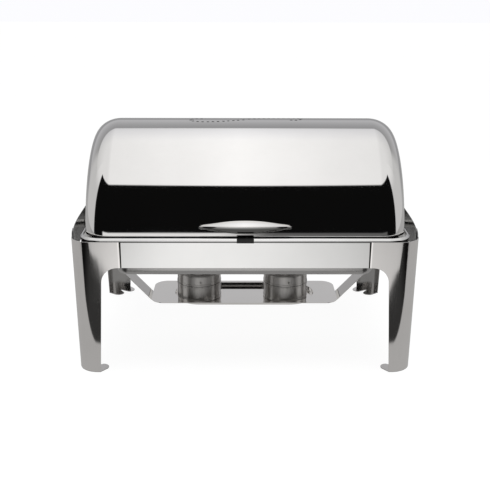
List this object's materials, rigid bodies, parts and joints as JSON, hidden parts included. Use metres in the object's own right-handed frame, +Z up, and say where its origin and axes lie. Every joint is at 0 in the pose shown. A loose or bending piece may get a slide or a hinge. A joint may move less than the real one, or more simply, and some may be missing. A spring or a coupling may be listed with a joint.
{
  "type": "chafing dish food warmer",
  "caption": "Rectangular roll-top chafing dish on a four-legged stand, with a rolling lid, a water pan, a food pan, a fuel shelf and lidded fuel burners.",
  "frame": {"origin": "on the floor under the middle of the stand", "axes": "+Z up, the front with the lid's handle towards -Y, +X to the right seen from the front"},
  "size_m": [0.6684, 0.471, 0.4432],
  "materials": {
    "polished_steel": "mirror polished stainless steel",
    "satin_steel": "satin stainless steel sheet",
    "burner_steel": "drawn and brushed stainless steel, slightly darkened",
    "fastener_steel": "plain stainless steel",
    "black_plastic": "glossy black",
    "nylon": "natural nylon"
  },
  "bodies": {
    "stand": {"carrier_back": "satin_steel", "carrier_front": "satin_steel", "carrier_left": "satin_steel", "carrier_right": "satin_steel", "front_bumper": "black_plastic", "fuel_shelf": "satin_steel", "hanger_strap": "satin_steel", "leg_front_left": "polished_steel", "leg_front_right": "polished_steel", "leg_rear_left": "polished_steel", "leg_rear_right": "polished_steel", "pivot_bolt_left": "fastener_steel", "pivot_bolt_right": "fastener_steel", "pivot_bushing_left": "nylon", "pivot_bushing_right": "nylon", "pivot_nut_left": "fastener_steel", "pivot_nut_right": "fastener_steel", "pivot_spacer_left": "fastener_steel", "pivot_spacer_right": "fastener_steel", "pivot_washer_left": "nylon", "pivot_washer_right": "nylon", "rim_frame": "polished_steel", "side_panel_left": "polished_steel", "side_panel_right": "polished_steel"},
    "lid": {"handle_screw_left": "fastener_steel", "handle_screw_right": "fastener_steel", "lid_arm_left": "satin_steel", "lid_arm_right": "satin_steel", "lid_handle": "polished_steel", "lid_rivet_lower_left": "fastener_steel", "lid_rivet_lower_right": "fastener_steel", "lid_rivet_upper_left": "fastener_steel", "lid_rivet_upper_right": "fastener_steel", "lid_shell": "polished_steel"},
    "water_pan": {"water_pan": "satin_steel"},
    "food_pan": {"food_pan": "satin_steel", "food_pan_rim": "satin_steel"},
    "burner_left": {"burner_cover_left": "burner_steel", "burner_cup_left": "burner_steel", "snuffer_rivet_left": "burner_steel"},
    "snuffer_left": {"snuffer_disc_left": "burner_steel"},
    "burner_right": {"burner_cover_right": "burner_steel", "burner_cup_right": "burner_steel", "snuffer_rivet_right": "burner_steel"},
    "snuffer_right": {"snuffer_disc_right": "burner_steel"}
  },
  "joints": [
    {"name": "lid_roll", "type": "hinge", "parent": "stand", "child": "lid", "pos_m": [0, 0, 0.228], "axis": [-1, 0, 0], "range_deg": [0, 150]},
    {"name": "water_pan_lift", "type": "slide", "parent": "stand", "child": "water_pan", "axis": [0, 0, 1], "range_m": [0, 0.024]},
    {"name": "food_pan_lift", "type": "slide", "parent": "water_pan", "child": "food_pan", "axis": [0, 0, 1], "range_m": [0, 0.066]},
    {"name": "burner_lift_left", "type": "slide", "parent": "stand", "child": "burner_left", "axis": [0, 0, 1], "range_m": [0, 0.012]},
    {"name": "burner_lift_right", "type": "slide", "parent": "stand", "child": "burner_right", "axis": [0, 0, 1], "range_m": [0, 0.012]},
    {"name": "snuffer_swing_left", "type": "hinge", "parent": "burner_left", "child": "snuffer_left", "pos_m": [-0.134, 0, 0.126], "axis": [0, 0, -1], "range_deg": [0, 110]},
    {"name": "snuffer_swing_right", "type": "hinge", "parent": "burner_right", "child": "snuffer_right", "pos_m": [0.125, 0, 0.126], "axis": [0, 0, 1], "range_deg": [0, 110]}
  ]
}
